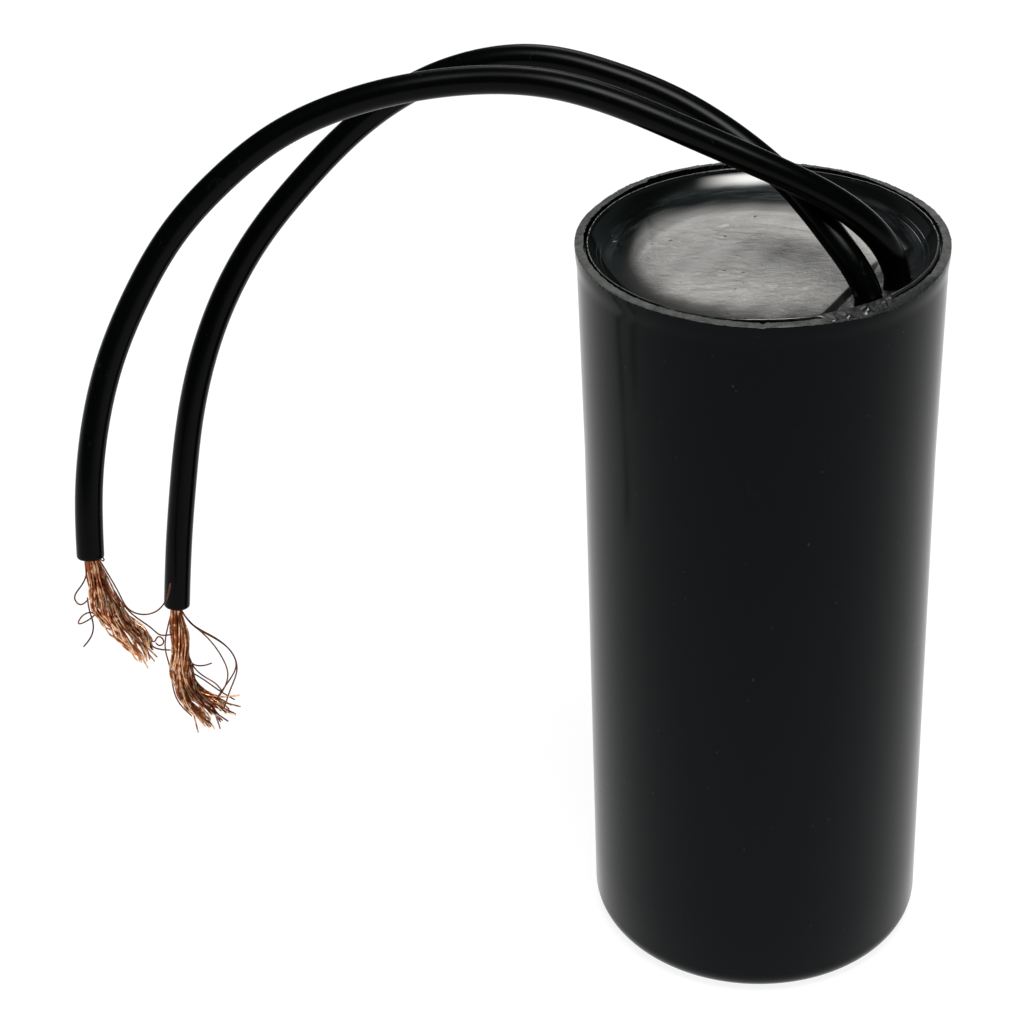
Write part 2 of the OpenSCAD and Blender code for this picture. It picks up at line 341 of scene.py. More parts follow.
# The edges, the tips and the stray strands are in mm from the middle of the insulation's cut end.
bundle_edges = {
    "lead_a": (
        [(-0.5, 0, -0.4), (-0.5, -0.2, -2), (-0.5, -0.4, -3.7), (-0.4, -0.6, -5.1), (0.3, -0.8, -6.2),
         (1.2, -1, -7.5), (2, -1.2, -8.6), (3.1, -1.4, -10)],
        [(0.7, 0, -0.4), (1.1, -0.2, -1.8), (1.7, -0.4, -3.3), (2.4, -0.6, -4.7), (3, -0.8, -5.8),
         (3.8, -1, -6.7), (4.5, -1.2, -7.7), (4.8, -1.4, -9)],
    ),
    "lead_b": (
        [(-0.6, 0, -0.5), (-0.8, -0.3, -2.2), (-1, -0.5, -4.4), (-1.2, -0.8, -6.5), (-1.1, -1.1, -8.2),
         (-0.7, -1.4, -9.4), (0.3, -1.6, -10.8), (1.5, -1.9, -12.4)],
        [(0.4, 0, -0.5), (0.7, -0.3, -2.3), (0.9, -0.5, -4.4), (0.9, -0.8, -6.5), (1.3, -1.1, -7.9),
         (2.3, -1.4, -8.7), (3.5, -1.6, -9.5), (4.5, -1.9, -10.4)],
    ),
}
bundle_tips = {
    "lead_a": [(3.2, -1.4, -10.1), (3.9, -1.6, -10.7), (4.5, -1.2, -10.3), (4.8, -1.4, -9.7)],
    "lead_b": [
        (0.8, -2, -12.8), (2.3, -1.6, -12.8), (2.9, -2.2, -12.4), (3.7, -2, -11.7), (4.4, -1.5, -11.4),
        (4.5, -2.3, -10.7), (5, -2, -10.1), (5, -1.4, -9.2),
    ],
}
stray_strands = {
    "lead_a": [
        [(-0.4, 0.2, -0.5), (-0.7, -0.2, -2), (-1.2, -0.5, -2.7), (-1.7, -0.9, -3.6), (-1.4, -1.2, -3.9),
         (-0.4, -1.6, -3.2)],
        [(0.1, -0.2, -3.5), (-0.2, -0.4, -5.5), (-0.9, -0.5, -6.1), (-1.7, -0.7, -6.3), (-1.3, -0.9, -5.4),
         (-0.4, -1, -5), (0.2, -1.2, -5.2)],
        [(-0.7, -0.4, -3.8), (-0.6, -0.7, -5.2), (-0.4, -1.1, -6), (-0.5, -1.5, -6.8), (-1.4, -1.8, -8)],
        [(0.8, -0.2, -0.2), (1.2, 0.1, -1.6), (2, 0.5, -4.4), (2.6, 0.8, -6.1), (3.7, 1.2, -6.9),
         (4.8, 1.5, -6.8), (5.6, 1.9, -6.1), (6.2, 2.2, -4.4)],
        [(1.7, -0.4, -3.2), (2.9, 0.1, -6.1), (4.4, 0.6, -8.1), (5, 1.1, -9.1), (5.9, 1.6, -9.4)],
        [(4.1, -0.9, -7.2), (4.7, -1, -8.3), (5.1, -1, -7.8), (5.5, -1.1, -8.3), (5.1, -1.1, -8.7),
         (4.8, -1.2, -8.3)],
        [(3.9, -1, -7.2), (4.6, -0.8, -9.1), (5.3, -0.6, -9.5), (5.9, -0.4, -9.7)],
        [(0.7, -0.4, -0.3), (0.9, -0.5, 0.2), (1.2, -0.7, 0.4), (1.3, -0.9, 0.2), (1, -1, 0.4)],
    ],
    "lead_b": [
        [(0.4, 0, -0.5), (1, -0.4, -1.5), (3.2, -0.8, -3.2), (4.7, -1.2, -4.7), (5, -1.6, -6),
         (4.4, -2, -7.7), (3.5, -2.4, -9.9)],
        [(0.4, -0.2, -0.5), (1.1, -0.4, -1.6), (3.1, -0.7, -3.1), (4.5, -0.9, -4.6), (4.9, -1.1, -5.8),
         (4, -1.4, -7.7), (1.9, -1.6, -10.6)],
        [(0.4, -0.3, -0.4), (1.2, -0.4, -1.7), (2.2, -0.6, -2.8), (3.7, -0.8, -5.5), (4, -0.9, -7.2),
         (3.3, -1.1, -9), (2.5, -1.2, -10.1)],
        [(0.4, -0.4, -4.7), (0.9, -0.9, -5.8), (1.7, -1.3, -5.8), (2.8, -1.8, -5.2)],
        [(-0.6, 0.2, -0.8), (-1.2, 0, -2.7), (-1.5, -0.3, -4.4), (-1.3, -0.5, -6.1), (-1.2, -0.7, -8.1),
         (-0.9, -1, -9.7), (0.3, -1.2, -11.5)],
        [(0.6, -0.5, -5.2), (1, -0.9, -6.2), (2, -1.2, -7.2), (3, -1.6, -7.8), (3.5, -2, -8.4)],
        [(0.8, -0.8, -6.9), (1.9, -0.9, -7.8), (3, -0.9, -8.9), (4.4, -1, -10)],
        [(0.8, -0.6, -6), (1.1, -0.5, -8.6), (1.8, -0.3, -10.1), (2.9, -0.2, -11.8)],
    ],
}


def copper_finish():
    """Drawn copper, each strand its own shade, browned in patches, with painted highlights: pale cream spots
    that stand in for glints.
    """
    metal = Finish("strand_copper")
    shade = metal.node("ShaderNodeAttribute", {"attribute_name": "shade"}, out=2)
    tarnish = metal.grain(metal.place(), 1100.0, 4.0, 0.65)
    # Painted highlight: where this mask is high the colour turns pale cream, standing in for glints on the
    # strands.
    painted_glints = metal.band(metal.grain(metal.place(), 1700.0, 2.0) + 0.35 * shade, 0.60, 0.80)
    brown = metal.blend(
        metal.band(tarnish + 0.5 * shade, 0.35, 1.05), (0.105, 0.024, 0.007, 1), (0.50, 0.145, 0.045, 1)
    )
    colour = metal.blend(0.85 * painted_glints * metal.band(shade, 0.1, 0.5), brown, (0.98, 0.64, 0.40, 1))
    return metal.surface(
        Base_Color=colour,
        Metallic=1.0,
        Roughness=0.2 + 0.2 * tarnish,
        Normal=metal.bump(tarnish, 0.006),
    )


def even_points(points, count):
    """A smooth line through some points, as a given number of points at even shares of it."""
    line = smooth_route(points, edge_step)
    share = np.linspace(0, 1, len(line))
    return np.array([np.interp(np.linspace(0, 1, count), share, line[:, k]) for k in range(3)]).T


strand_copper = copper_finish()
for name, (left_points, right_points) in bundle_edges.items():
    draw = np.random.default_rng(strand_seeds[name])
    cut_end = lead_paths[name][-1]
    cut_heading = unit(cut_end - lead_paths[name][-3])
    share = np.linspace(0, 1, strand_points)
    left = even_points(left_points, strand_points)
    right = even_points(right_points, strand_points)
    middle = (left + right) / 2
    half = (right - left) / 2
    half_width = np.linalg.norm(half, axis=1)
    depth = np.array([0.0, 0.9, 0.0])
    tips = list(bundle_tips[name])
    wires = [smooth_route(points, strand_step) for points in stray_strands[name]]
    shades = [draw.uniform(0.0, stray_shade) for _ in wires]
    clumps = 0.95 * np.exp(1j * draw.uniform(0, any_turn, clump_count))
    clumps = clumps * np.sqrt(draw.uniform(0, 1, clump_count))
    for k in range(strand_count):
        spot = math.sqrt((k + 0.5) / strand_count) * np.exp(1j * golden_turn * k)
        clump = clumps[np.argmin(np.abs(clumps - spot))]
        drawn = 0.5 * np.clip(2 * share - 0.4, 0, 1)
        spots = (spot + drawn * (clump - spot)) * np.exp(1j * (draw.normal(0, 0.25) - 1.1 * share))
        waves = draw.uniform(1.2, 3.4)
        curl = (0.03 + 0.17 * np.minimum(1, 1.6 * share)) * draw.uniform(0.5, 1.3)
        coil = curl * np.exp(1j * (draw.uniform(0, any_turn) - full_turn * waves * share))
        line = middle + half * spots.real[:, None] + half / half_width[:, None] * coil.real[:, None]
        line += depth * (half_width * spots.imag + coil.imag)[:, None]
        start = np.array([spot.real, spot.imag, 0.0]) * (lead_bore - strand_inset)
        rooted = [start - cut_heading * down for down in root_depths]
        line = np.concatenate([rooted, line[:draw.integers(shortest_strand, strand_points + 1)]])
        # Every fourth strand runs out to one of the tips.
        if k % 4 == 1 and tips:
            line = np.concatenate([line[:-14:3], [tips.pop(0)]])
        wires.append(smooth_route(line, strand_step))
        # Each strand's random tone, painted lighter for lead_a as painted light.
        shades.append(0.1 + 0.9 * draw.uniform(0.0, 1.0) ** painted_strand_light[name])
    points = []
    faces = []
    point_shades = []
    for line, shade in zip(wires, shades):
        taper = np.ones(len(line))
        taper[0] = taper[-1] = 0.75
        taper *= 0.85 if shade < stray_shade else 1.0
        ring = rings_round(line + cut_end, strand_radius * taper, strand_sides)
        faces += ring_faces(len(ring), strand_sides, len(point_shades))
        points.append(ring.reshape(-1, 3))
        # Painted shade and highlight: each strand is painted darker near the insulation and lighter towards
        # its tip, where the glints gather.
        painted_light_along = np.linspace(0.5, 1.1, len(line))
        fade = shade * painted_light_along if shade > stray_shade else np.full(len(line), shade)
        point_shades += np.repeat(fade, strand_sides).tolist()
    strands = make_piece(name + "_copper", np.concatenate(points), faces, [strand_copper], 60.0)
    strands.data.attributes.new("shade", "FLOAT", "POINT").data.foreach_set("value", point_shades)
    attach(strands, "root")
    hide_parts(name + "_strands")
    (lead_paths[name] * mm).tolist()


# The capacitor itself: metallised film wound on a plastic tube, with zinc sprayed on both ends to join it.
# The leads' conductors are soldered to the zinc, and all of it is sealed in the resin and not seen.
def dress(material, *nodes):
    """Puts a material on solids that keep their shape."""
    for node in nodes:
        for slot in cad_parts[node].material_slots:
            slot.material = material


def wound_film_finish():
    """Clear film over a thin layer of metal, with the fine lines of its turns."""
    film = Finish("wound_film")
    turns = film.grain(film.stretched((1.0, 1.0, 0.02)), 3800.0, 4.0)
    cloud = film.grain(film.place(), 180.0)
    colour = film.blend(cloud, (0.50, 0.51, 0.53, 1), (0.66, 0.67, 0.70, 1))
    return film.surface(
        Base_Color=colour, Metallic=0.85, Roughness=0.16 + 0.18 * turns, Normal=film.bump(turns, 0.01)
    )


def tube_plastic_finish():
    """The pale extruded tube that the film is wound on."""
    tube = Finish("tube_plastic")
    cloud = tube.grain(tube.place(), 400.0)
    lines = tube.grain(tube.stretched((1.0, 1.0, 0.05)), 2500.0)
    colour = tube.blend(cloud, (0.74, 0.72, 0.64, 1), (0.84, 0.82, 0.75, 1))
    return tube.surface(Base_Color=colour, Roughness=0.4 + 0.1 * cloud, Normal=tube.bump(lines, 0.01))


def zinc_finish():
    """Zinc sprayed on molten, so grey, grainy and dull."""
    zinc = Finish("sprayed_zinc")
    drops = zinc.grain(zinc.place(), 3200.0, 5.0, 0.7)
    colour = zinc.blend(drops, (0.34, 0.35, 0.37, 1), (0.58, 0.59, 0.61, 1))
    return zinc.surface(
        Base_Color=colour, Metallic=0.8, Roughness=0.5 + 0.25 * drops, Normal=zinc.bump(drops, 0.08)
    )


def solder_finish():
    """Bright solder that has set in a smooth mound with a faint skin."""
    solder = Finish("set_solder")
    skin = solder.grain(solder.place(), 1200.0, 4.0)
    colour = solder.blend(skin, (0.55, 0.56, 0.58, 1), (0.72, 0.73, 0.74, 1))
    return solder.surface(
        Base_Color=colour, Metallic=0.95, Roughness=0.2 + 0.2 * skin, Normal=solder.bump(skin, 0.02)
    )


dress(wound_film_finish(), "film_roll")
dress(tube_plastic_finish(), "roll_core")
dress(zinc_finish(), "end_spray_lower", "end_spray_upper")
dress(solder_finish(), "solder_lower", "solder_upper")
dress(strand_copper, "lead_a_conductor", "lead_b_conductor")
dress(lead_insulation, "lead_a_potted", "lead_b_potted")


# The can: a plain cup of black plastic, injection moulded, with a flat base and a mouth that flares a little.
# Its rim has a thin band, and was trimmed after moulding, which left a dull, torn land with burrs and a chip.
can_segments = 1080
can_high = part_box("case")[1]
can_height = can_high.z / mm
band_radius = can_high.x / mm
can_radius = band_radius - 0.4
can_bore = can_radius - 1.25
can_floor = 1.5
base_round = 2.3
floor_round = 1.2
flare_from = can_height - 20.0
flare_radius = can_radius + 0.25
band_from = can_height - 0.5
flare_to = band_from - 0.35
mouth_from = can_height - 8.0
mouth_radius = band_radius - 0.7
blend_height = 1.4
pole_radius = 0.05
floor_ring = 7.0
half_height = 30.0
land_wide = 0.76
land_narrow = 0.54
rim_tilt = 0.11
chip_at = 264.3
spill_from = 283
spill_to = 309


def ragged_line(seed, low, high, fall):
    """A torn line round the can: sums of waves from low to high times round, about one high."""
    draw = np.random.default_rng(seed)
    angle = np.arange(can_segments) * 2 * math.pi / can_segments
    line = np.zeros(can_segments)
    for waves in range(low, high):
        line += draw.normal() * waves ** -fall * np.cos(waves * angle + draw.uniform(0, full_turn))
    return line / line.std()


can_angle = np.arange(can_segments) * 2 * math.pi / can_segments
can_degrees = np.degrees(can_angle)


def hump(centre, half):
    """One at an angle in degrees, falling smoothly to nothing half a width away."""
    away = np.abs((can_degrees - centre + 180) % 360 - 180) / half
    return np.where(away < 1, 0.5 + 0.5 * np.cos(np.pi * np.clip(away, 0, 1)), 0.0)


# The trimmed land is narrow round the back, has a chip in front, and falls outwards where resin ran over it.
narrow_part = 1 / (1 + np.exp((can_degrees - 125.8) / 0.35)) / (1 + np.exp((38 - can_degrees) / 4.0))
even_width = land_wide + (land_narrow - land_wide) * narrow_part
land_width = even_width + 0.03 * ragged_line(1, 20, 400, 0.45)
land_width = land_width - 0.1 * hump(chip_at, 1.8) - 0.12 * hump(300, 3)
outer_burr = 0.014 * np.clip(ragged_line(2, 30, 420, 0.35), -2.2, 2.2)
top_burr = 0.018 * np.clip(ragged_line(3, 25, 420, 0.4), -1.5, 2.4)
top_sway = 0.04 * ragged_line(4, 2, 14, 0.8) - rim_tilt * np.cos(can_angle)
land_fall = 0.05 + 0.3 * hump(307, 34)
land_top = can_height - 0.03 + top_sway - 0.07 * hump(chip_at, 1.6) - 0.06 * hump(127, 2.5)
inner_edge = band_radius - land_width
wall_edge = np.minimum(band_radius - even_width + 0.03, mouth_radius - 0.02)


def mouth_at(height):
    """The radius inside the can at a height near its mouth."""
    return can_bore + (mouth_radius - can_bore) * max(0.0, height - mouth_from) / (can_height - mouth_from)


can_rows = []
can_finish = []


def can_row(radius, height, finish=0):
    """One more ring of the can, from the middle of its base outwards, up and in again."""
    can_rows.append(np.column_stack([
        radius * np.cos(can_angle),
        radius * np.sin(can_angle),
        np.broadcast_to(height, (can_segments,)),
    ]))
    can_finish.append(finish)


for radius in (pole_radius, 4.0, 8.0, 11.0):
    can_row(radius, 0.0)
for a in np.linspace(0, math.pi / 2, 11):
    can_row(can_radius - base_round * (1 - math.sin(a)), base_round * (1 - math.cos(a)))
for height in np.linspace(base_round, flare_from, 9)[1:]:
    can_row(can_radius, height)
for share in np.linspace(0, 1, 10)[1:]:
    reach = can_radius + (flare_radius - can_radius) * share
    can_row(reach, flare_from + (flare_to - blend_height - flare_from) * share)
for share in np.linspace(0, 1, 7)[1:]:
    reach = flare_radius + (band_radius - flare_radius) * (0.5 - 0.5 * math.cos(math.pi * share))
    can_row(reach, flare_to - blend_height + (band_from + blend_height - flare_to + top_sway) * share)
for share in (0.4, 0.8):
    rise = band_from + top_sway + (land_top - land_fall - 0.06 - band_from - top_sway) * share
    can_row(band_radius + outer_burr * share ** 2, rise)
can_row(band_radius + outer_burr, land_top - land_fall - 0.05 + 0.4 * top_burr)
can_row(band_radius - 0.04 + outer_burr, land_top - land_fall + top_burr, 1)
for k, share in enumerate((0.14, 0.28, 0.42, 0.56, 0.70, 0.84)):
    torn = 0.012 * ragged_line(20 + k, 40, 420, 0.2) - land_fall * (1 - share) ** 2
    reach = band_radius - 0.04 + (inner_edge + 0.04 - band_radius) * share
    can_row(reach + 0.5 * outer_burr * (1 - share), land_top + torn, 1)
can_row(inner_edge + 0.03, land_top - 0.01 + 0.6 * top_burr[::-1], 1)
can_row(inner_edge - 0.01, land_top - 0.07)
can_row(0.5 * (inner_edge + wall_edge), land_top - 0.16)
can_row(wall_edge, land_top - 0.34)
for depth in (0.7, 1.1, 2.2, 5.2, 8.0):
    can_row(mouth_at(can_height - depth), can_height - depth)
can_row(can_bore, half_height)
for a in np.linspace(0, math.pi / 2, 5):
    can_row(can_bore - floor_round * (1 - math.cos(a)), can_floor + floor_round * (1 - math.sin(a)))
for radius in (floor_ring, pole_radius):
    can_row(radius, can_floor)


def moulded_can_finish():
    """Black moulded plastic with a smooth gloss, faint flow marks, dust-sized pits and a few rubs."""
    shell = Finish("moulded_can")
    cloud = shell.grain(shell.place(), 70.0, 4.0)
    drawn = shell.grain(shell.stretched((1.0, 1.0, 0.03)), 900.0, 4.0)
    fine = shell.grain(shell.place(), 5200.0, 2.0)
    fleck = shell.band(shell.grain(shell.place(), 1500.0, 1.0), 0.775, 0.80)
    rub = shell.band(shell.grain(shell.stretched((1.0, 1.0, 0.45)), 160.0, 6.0, 0.75), 0.66, 0.80)
    rise = shell.node("ShaderNodeSeparateXYZ", {}, {0: shell.place()}, out=2)
    # Painted shade: the colour darkens up the wall, standing in for the darker surroundings that the upper
    # wall reflects; a random cloud varies it.
    painted_top_shade = shell.band(rise, 0.0, 0.075) + 0.3 * (cloud - 0.5)
    tint = shell.blend(painted_top_shade, (0.0030, 0.0040, 0.0056, 1), (0.0001, 0.0002, 0.0011, 1))
    dusty = shell.blend(0.6 * fleck + 0.25 * rub, tint, (0.045, 0.045, 0.044, 1))
    return shell.surface(
        Base_Color=dusty,
        Roughness=0.12 + 0.05 * cloud + 0.05 * drawn + 0.2 * rub + 0.2 * fleck,
        IOR=1.18,
        Specular_Tint=(0.88, 1.0, 1.0, 1),
        Normal=shell.bump(0.35 * drawn + 0.5 * fine + 1.5 * fleck, 0.004),
    )


def trimmed_rim_finish():
    """The same plastic where it was cut through, torn dull and grey, and darker where the resin wetted it."""
    edge = Finish("trimmed_rim")
    torn = edge.grain(edge.place(), 9000.0, 4.0, 0.75)
    patch = edge.grain(edge.place(), 1300.0, 4.0, 0.65)
    grit = edge.band(0.55 * torn + 0.45 * patch, 0.36, 0.66)
    towards_spill = edge.node(
        "ShaderNodeVectorMath", {"operation": "DOT_PRODUCT"}, {0: edge.place(), 1: (0.6, -0.8, 0)}, out=1
    )
    smeared = edge.band(towards_spill, 0.0137, 0.0146)
    colour = edge.blend(grit, (0.018, 0.0195, 0.019, 1), (0.118, 0.123, 0.118, 1))
    colour = edge.blend(0.85 * smeared, colour, (0.006, 0.0072, 0.0074, 1))
    return edge.surface(
        Base_Color=colour,
        Roughness=0.36 + 0.2 * torn,
        IOR=1.4,
        Normal=edge.bump(torn + patch, 0.03),
    )


can_points = np.concatenate(can_rows)
can_faces = ring_faces(len(can_rows), can_segments)
can = make_piece("can", can_points, can_faces, [moulded_can_finish(), trimmed_rim_finish()], 32.0)
can_face_finish = np.zeros(len(can_faces), dtype=np.int32)
can_face_finish[:(len(can_rows) - 1) * can_segments] = np.repeat(can_finish[1:], can_segments)
can.data.polygons.foreach_set("material_index", can_face_finish)
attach(can, "root")
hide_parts("case")


# The resin: black casting resin, poured round the roll until the can is nearly full, and set glossy.
# It climbed the wall before it set, sank in the middle and beside the leads, where some of it ran over the
# rim, and shrank off the rest of the rim by a hair.
resin_segments = 720
dish_height = 67.3
lip_height = 69.8
lip_reach = 14.664
lip_over = 0.05
lip_front_rise = 0.3
gap_floor = 68.9
hollow_top = 66.6
hollow_reach = 13.3
wall_climb = lip_height - dish_height
wall_reach = 1.36
slower_behind = 0.3
slower_by_leads = 0.6
# Each ledge in the slope is how far it lies in from the lip, and how wide it is.
ledges = ((0.80, 0.06), (1.14, 0.045))
lip_round = 0.14
# The well beside the leads starts at a straight edge, and its depth grows from there.
well_edge = (6.31, -5.05)
well_inward = (0.852, -0.523)
well_depth = 0.22
well_ramp = 0.6
well_slope = 0.25
well_run = 1.8
collar_climb = 0.06
collar_reach = 0.35
resin_angle = np.arange(resin_segments) * 2 * math.pi / resin_segments
# Each bead is its place, its radius and its rise.
beads = [
    (7.0, -13.6, 0.46, 0.46), (5.42, -14.34, 0.32, 0.28), (4.3, -14.8, 0.25, 0.12), (7.5, -12.0, 0.3, 0.2),
    (8.57, -12.47, 0.3, 0.16), (9.2, -11.93, 0.32, 0.18), (9.84, -11.38, 0.3, 0.15),
    (-11.9, 4.1, 0.3, 0.2), (-12.15, 4.8, 0.2, 0.12),
]


def bead_rise(x, y):
    """How far the beads stand up at a place."""
    height = 0.0
    for bead_x, bead_y, radius, rise in beads:
        near = np.hypot(x - bead_x, y - bead_y) / radius
        height = height + rise * np.exp(-2 * near ** 2)
    return height


def resin_top(x, y):
    """The height of the set resin inside its raised edge."""
    reach = np.hypot(x, y)
    inside = np.clip(lip_reach - reach, 0, None)
    even = np.clip(1.1 - np.clip(y, 0, None) / 11 + 0.15 * np.sin(0.7 * x - 0.3 * y), 0, 1)
    stepped = inside
    for ledge_in, width in ledges:
        stepped = stepped - even * width * np.clip((inside - ledge_in) / width, 0, 1)
    past = well_inward[0] * (x - well_edge[0]) + well_inward[1] * (y - well_edge[1])
    in_front = np.clip((1 - y) / 3, 0, 1)
    slow = 1 + slower_behind * np.clip(np.maximum(-x, y) / 9, 0, 1)
    slow = slow + slower_by_leads * in_front * np.clip((past - 1.8) / 1.2, 0, 1)
    climb = wall_climb * np.exp(-stepped / wall_reach / slow)
    ramp = np.clip(past / well_ramp, 0, 1)
    well = well_depth * ramp ** 2 * (3 - 2 * ramp) + well_slope * np.clip(past - 0.3, 0, well_run)
    climb = climb - well * in_front * np.clip((inside - 0.3) / 2, 0, 1)
    for lead_x, lead_y, _ in lead_exits.values():
        away = np.clip(np.hypot(x - lead_x, y - lead_y) - lead_radius, 0, None)
        climb = climb + collar_climb * np.exp(-away / collar_reach)
    dip = 0.05 * np.exp(-((x - 3.6) ** 2 + (y - 4.8) ** 2) / 10)
    dip = dip + 0.065 * np.exp(-((x + 6) ** 2 / 45 + (y + 5.8) ** 2 / 8))
    sag = 0.008 * np.sin(0.55 * x + 0.4) * np.cos(0.5 * y - 0.8) + 0.008 * np.sin(1.7 * x - 1.1 * y)
    rings = 0.004 * np.sin(reach * 5.2 + 0.8 * np.sin(0.4 * x)) * np.exp(-((reach - 9.5) / 2.2) ** 2)
    rings = rings * np.clip(y / 6, 0, 1)
    uneven = (sag + rings - dip) * np.clip((inside - 0.9) / 1.5, 0, 1)
    return dish_height + climb + uneven + bead_rise(x, y)


def at_resin(line):
    """A line round the can, at the resin's own spacing."""
    at = np.linspace(0, can_segments, resin_segments, endpoint=False)
    return np.interp(at, np.arange(can_segments), line)


def torn_ring(seed, low, high, fall):
    """The same sort of torn line, at the resin's own spacing."""
    return at_resin(ragged_line(seed, low, high, fall))


lip_burr = 0.008 * np.clip(torn_ring(51, 12, 340, 0.5), -2, 2)
lip_sway = 0.03 * torn_ring(52, 2, 9, 0.7) + lip_front_rise * (0.5 - 0.5 * np.sin(resin_angle))
lip_edge = lip_reach + lip_over + 0.012 * torn_ring(53, 8, 300, 0.5)
brink = at_resin(land_top)
brink_fall = at_resin(land_fall)
# Some resin ran over the rim beside the leads: this is one there and nothing elsewhere.
past_start = 1 / (1 + np.exp((spill_from - can_degrees) / 0.8))
spilled = at_resin(past_start / (1 + np.exp((can_degrees - spill_to) / 0.8)))
spill_edge = lip_edge + spilled * (band_radius - 0.07 - lip_edge + 0.03 * torn_ring(54, 20, 200, 0.4))
spill_low = brink - 0.92 * brink_fall + 0.03
resin_rows = []


def resin_row(radius, height):
    """One more ring of the resin, from under the roll outwards, up the wall and in over the top."""
    radius = np.broadcast_to(radius, (resin_segments,))
    x = radius * np.cos(resin_angle)
    y = radius * np.sin(resin_angle)
    level = height(x, y) if callable(height) else np.broadcast_to(height, (resin_segments,))
    resin_rows.append(np.column_stack([x, y, level]))


for radius in (pole_radius, floor_ring):
    resin_row(radius, can_floor)
for a in np.linspace(math.pi / 2, 0, 5):
    resin_row(can_bore - floor_round * (1 - math.cos(a)), can_floor + floor_round * (1 - math.sin(a)))
for height in (half_height, mouth_from, 64.5, 67.0, gap_floor):
    resin_row(mouth_at(height), height)
resin_row(lip_reach + lip_over, gap_floor + 0.01)
resin_row(lip_edge, gap_floor + 0.2 + spilled * (brink - gap_floor - 0.23))
spill_rise = brink - 0.22 * brink_fall - gap_floor - 0.27
resin_row((lip_edge + spill_edge) / 2, gap_floor + 0.28 + spilled * spill_rise)
resin_row(spill_edge, gap_floor + 0.35 + spilled * (spill_low - gap_floor - 0.37))
for k, a in enumerate(np.linspace(0, math.pi * 0.78, 8)):
    crest = lip_height - lip_round + lip_sway + lip_burr * math.sin(a)
    lip_radius = lip_edge - lip_round * (1 - math.cos(a))
    lip_level = crest + lip_round * math.sin(a)
    spill_level = spill_low + (crest + lip_round - spill_low) * k / 7
    spill_radius = spill_edge + (lip_reach - 0.19 - spill_edge) * k / 7
    lumps = bead_rise(spill_radius * np.cos(resin_angle), spill_radius * np.sin(resin_angle))
    spill_level = spill_level + lumps + 0.02 * min(1, k) * torn_ring(60 + k // 2, 15, 160, 0.4)
    crest_radius = lip_radius + spilled * (spill_radius - lip_radius)
    resin_row(crest_radius, lip_level + spilled * (spill_level - lip_level))


def meniscus_top(x, y):
    """The resin's top, with the sway of the lip at its edge."""
    inside = np.clip(lip_reach - np.hypot(x, y), 0, None)
    return resin_top(x, y) + lip_sway * np.exp(-((inside / 0.9) ** 2))


top_reaches = [
    np.linspace(14.44, 13.92, 10), [13.88, 13.864, 13.834, 13.804, 13.79, 13.74],
    np.linspace(13.68, 13.56, 3), [13.535, 13.524, 13.5, 13.479, 13.465], np.linspace(13.4, 13.1, 5),
    np.linspace(13.1, 7.4, 50)[1:], np.linspace(7.4, 0.35, 20)[1:], [pole_radius],
]
for radius in np.concatenate(top_reaches):
    resin_row(radius, meniscus_top)

resin_points = np.concatenate(resin_rows)
resin_faces = ring_faces(len(resin_rows), resin_segments)

# The hollow that the roll, the joints and the potted leads fill is the solid's own, so it is taken from
# there. It ends below the resin's top, which closes round the leads.
hollow = bmesh.new()
hollow.from_mesh(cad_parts["potting_resin"].data)
bmesh.ops.remove_doubles(hollow, verts=hollow.verts, dist=1e-7)
outside = [
    face for face in hollow.faces
    if min(v.co.z for v in face.verts) > (dish_height - 0.1) * mm
    or max(math.hypot(v.co.x, v.co.y) for v in face.verts) > hollow_reach * mm
]
bmesh.ops.delete(hollow, geom=outside, context="FACES")
bmesh.ops.holes_fill(hollow, edges=[edge for edge in hollow.edges if edge.is_boundary], sides=0)
for v in hollow.verts:
    v.co.z = min(v.co.z, hollow_top * mm)
hollow.verts.index_update()
hollow_points = np.array([v.co for v in hollow.verts]) / mm
hollow_faces = [[v.index + len(resin_points) for v in face.verts] for face in hollow.faces]
hollow.free()


# Where the dish's skin is most wrinkled and painted paler, as bloom and as painted reflection, and how far
# that reaches, in metres.
dish_patches = [
    ((-0.0042, -0.0029, 0.0), 0.0042), ((0.0018, -0.0038, 0.0), 0.0040), ((-0.0017, -0.0004, 0.0), 0.0030),
    ((-0.0076, 0.0066, 0.0), 0.0040), ((-0.0030, 0.0078, 0.0), 0.0040),
]


